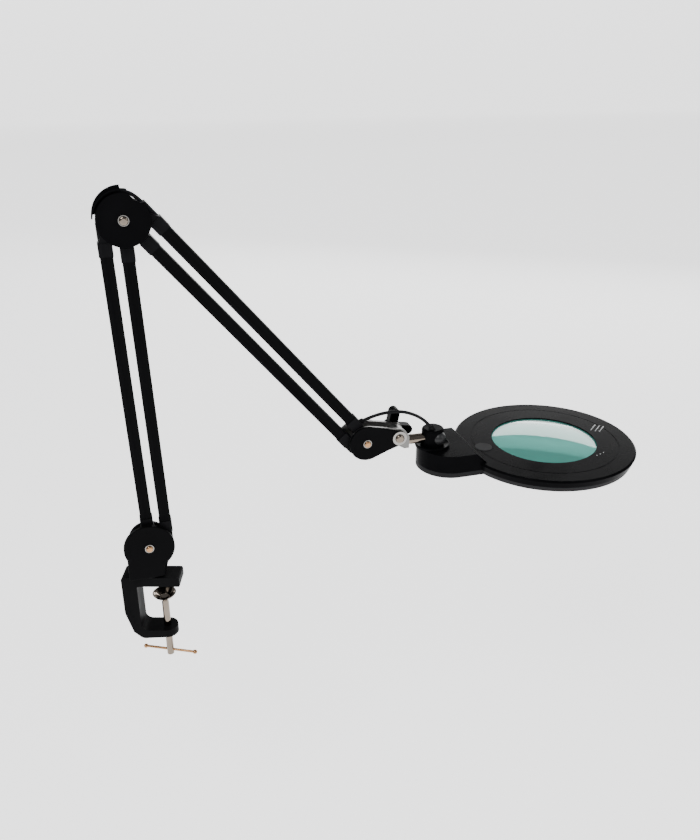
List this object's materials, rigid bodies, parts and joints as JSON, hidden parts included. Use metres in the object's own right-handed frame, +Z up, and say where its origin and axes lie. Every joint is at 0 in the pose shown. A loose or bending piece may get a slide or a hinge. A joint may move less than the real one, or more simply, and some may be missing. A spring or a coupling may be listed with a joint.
{
  "type": "magnifying lamp",
  "caption": "Clamp-mounted magnifying lamp with a round glass lens in a lit ring head on a sprung parallelogram arm.",
  "frame": {"origin": "on the underside of the top clamp jaw, under the axis that the arm swivels on", "axes": "+X from the arm towards the lens, +Y away from the side with the covers, +Z up"},
  "size_m": [0.6144, 0.2138, 0.5309],
  "materials": {
    "black_paint": "satin",
    "cast_black": "satin",
    "zinc": "satin",
    "steel": "satin",
    "nickel": "polished",
    "brass": "polished",
    "black_plastic": "gloss",
    "matte_black": "matte",
    "fitting": "matte",
    "rubber": "matte",
    "lens_glass": "polished",
    "diffuser_white": "matte",
    "board": "matte",
    "chip": "gloss",
    "lead_jacket": "matte"
  },
  "bodies": {
    "clamp": {"clamp_frame": "cast_black", "swivel_bush": "matte_black"},
    "pad": {"saucer_pad": "nickel"},
    "screw": {"clamp_screw": "nickel"},
    "bar": {"tommy_bar": "brass"},
    "base": {"base_yoke": "cast_black", "swivel_pin": "steel", "base_cover_front": "black_paint", "base_cover_rear": "black_paint", "base_pivot_pins": "steel", "base_fasteners": "steel", "base_bolt": "brass"},
    "lower_outer": {"lower_outer_tube": "black_paint", "lower_outer_ends": "fitting"},
    "lower_inner": {"lower_inner_tube": "black_paint", "lower_inner_ends": "fitting", "lower_spring": "steel", "lower_spring_rods": "steel"},
    "elbow": {"elbow_plates": "zinc", "elbow_cover": "black_plastic", "elbow_shell": "black_plastic", "elbow_pivot_pins": "steel", "elbow_fasteners": "steel", "elbow_bolt": "nickel", "elbow_lead": "lead_jacket"},
    "upper_outer": {"upper_outer_tube": "black_paint", "upper_outer_ends": "fitting"},
    "upper_inner": {"upper_inner_tube": "black_paint", "upper_inner_ends": "fitting", "upper_spring": "steel", "upper_spring_rods": "steel"},
    "wrist": {"wrist_plates": "zinc", "wrist_covers": "black_paint", "wrist_pivot_pins": "steel", "wrist_fasteners": "steel", "wrist_bolt": "brass", "tilt_bolt": "nickel", "tilt_washers": "steel", "wrist_lead": "lead_jacket"},
    "knob": {"tilt_knob": "black_plastic", "knob_insert": "brass"},
    "tilt": {"tilt_block": "zinc", "stem": "nickel"},
    "hub": {"hub_body": "black_plastic", "hub_cap": "black_plastic", "lead_gland": "rubber", "head_bolt": "steel"},
    "head": {"head_upper": "black_plastic", "head_lower": "matte_black", "case_screws": "steel", "lens": "lens_glass", "lens_gasket": "rubber", "lens_retainer": "matte_black", "diffuser": "diffuser_white", "led_board": "board", "led_chips": "chip", "power_switch": "matte_black", "driver_board": "board", "neck_collar": "black_plastic"},
    "button": {"power_button": "matte_black"}
  },
  "joints": [
    {"name": "base_swivel", "type": "hinge", "parent": "clamp", "child": "base", "pos_m": [0, 0, 0.012], "axis": [0, 0, 1], "range_deg": [-170, 170]},
    {"name": "lower_arm", "type": "hinge", "parent": "base", "child": "lower_outer", "pos_m": [0.00477, 0, 0.06215], "axis": [0, 1, 0], "range_deg": [-12, 60]},
    {"name": "lower_link", "type": "hinge", "parent": "base", "child": "lower_inner", "pos_m": [0.02016, 0, 0.0561], "axis": [0, 1, 0], "range_deg": [-12, 60]},
    {"name": "elbow_level", "type": "hinge", "parent": "lower_outer", "child": "elbow", "pos_m": [-0.00489, 0, 0.3876], "axis": [0, 1, 0], "range_deg": [-60, 12]},
    {"name": "upper_arm", "type": "hinge", "parent": "elbow", "child": "upper_outer", "pos_m": [0.03027, 0, 0.40094], "axis": [0, 1, 0], "range_deg": [-60, 10], "deforming": ["elbow_lead"]},
    {"name": "upper_link", "type": "hinge", "parent": "elbow", "child": "upper_inner", "pos_m": [0.02275, 0, 0.38622], "axis": [0, 1, 0], "range_deg": [-60, 10]},
    {"name": "wrist_level", "type": "hinge", "parent": "upper_outer", "child": "wrist", "pos_m": [0.23869, 0, 0.15079], "axis": [0, 1, 0], "range_deg": [-10, 60]},
    {"name": "head_tilt", "type": "hinge", "parent": "wrist", "child": "tilt", "pos_m": [0.2833, 0, 0.1447], "axis": [0, 1, 0], "range_deg": [-70, 60], "deforming": ["wrist_lead"]},
    {"name": "knob_turn", "type": "hinge", "parent": "wrist", "child": "knob", "pos_m": [0.2833, 0, 0.1447], "axis": [0, 1, 0], "continuous": true},
    {"name": "stem_roll", "type": "hinge", "parent": "tilt", "child": "hub", "pos_m": [0.316, 0, 0.1357], "axis": [1, 0, 0], "range_deg": [-60, 60]},
    {"name": "head_swivel", "type": "hinge", "parent": "hub", "child": "head", "pos_m": [0.328, 0, 0.125], "axis": [0, 0, 1], "range_deg": [-45, 45]},
    {"name": "clamp_feed", "type": "slide", "parent": "clamp", "child": "pad", "axis": [0, 0, 1], "range_m": [-0.0251, 0.0151]},
    {"name": "screw_spin", "type": "hinge", "parent": "pad", "child": "screw", "pos_m": [0.01057, -0.00303, -0.06], "axis": [0, 0, 1], "range_deg": [-7200, 4320]},
    {"name": "bar_slide", "type": "slide", "parent": "screw", "child": "bar", "axis": [0.8988, -0.4384, 0], "range_m": [-0.023, 0.023]},
    {"name": "button_press", "type": "slide", "parent": "head", "child": "button", "axis": [0, 0, -1], "range_m": [0, 0.0015], "stiffness_N_per_m": 600, "springref_m": -0.0005}
  ],
  "couplings": [
    {"joint": "lower_link", "follows": "lower_arm", "ratio": 1},
    {"joint": "elbow_level", "follows": "lower_arm", "ratio": -1},
    {"joint": "upper_link", "follows": "upper_arm", "ratio": 1},
    {"joint": "wrist_level", "follows": "upper_arm", "ratio": -1},
    {"joint": "clamp_feed", "follows": "screw_spin", "m_per_rad": 0.00019894}
  ]
}
